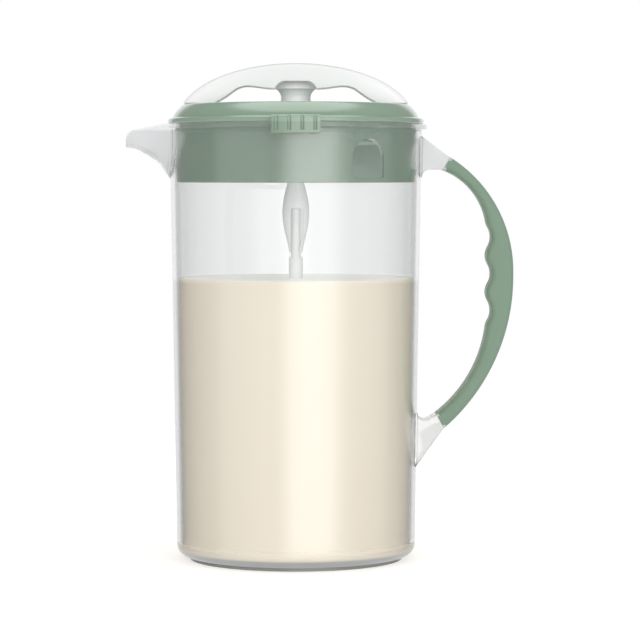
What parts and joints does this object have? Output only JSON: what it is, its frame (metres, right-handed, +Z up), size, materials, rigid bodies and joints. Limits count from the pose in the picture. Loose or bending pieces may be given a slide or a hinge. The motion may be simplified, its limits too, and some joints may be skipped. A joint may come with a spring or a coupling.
{
  "type": "baby formula mixing pitcher",
  "caption": "Clear round pitcher with an open spout, a soft gripped handle, a turning push-in lid and a mixer cranked by an arch above the lid.",
  "frame": {"origin": "centre of the foot ring's plane, on the jar's axis", "axes": "+Z up along the jar's axis, +X towards the handle, -X towards the spout, -Y towards the lid's thumb tab"},
  "size_m": [0.1677, 0.1161, 0.2151],
  "materials": {
    "clear_plastic": "clear, smooth moulded plastic",
    "grip": "soft, satin overmoulded grip",
    "lid_plastic": "opaque, satin sage green",
    "seal": "soft silicone, green like the lid",
    "frosted_plastic": "frosted, translucent"
  },
  "bodies": {
    "pitcher": {"jar": "clear_plastic", "spout": "clear_plastic", "handle_core": "clear_plastic", "handle_grip": "grip"},
    "seal": {"lid_seal": "seal"},
    "lid": {"lid": "lid_plastic", "stem_seal": "seal"},
    "mixer": {"mixing_handle": "frosted_plastic", "mixing_blade": "frosted_plastic"}
  },
  "joints": [
    {"name": "lid_lift", "type": "slide", "parent": "pitcher", "child": "seal", "axis": [0, 0, 1], "range_m": [0, 0.2]},
    {"name": "lid_turn", "type": "hinge", "parent": "seal", "child": "lid", "pos_m": [0, 0, 0.189], "axis": [0, 0, 1], "range_deg": [-57, 237]},
    {"name": "mixer_turn", "type": "hinge", "parent": "lid", "child": "mixer", "pos_m": [0, 0, 0.19], "axis": [0, 0, 1], "continuous": true}
  ]
}
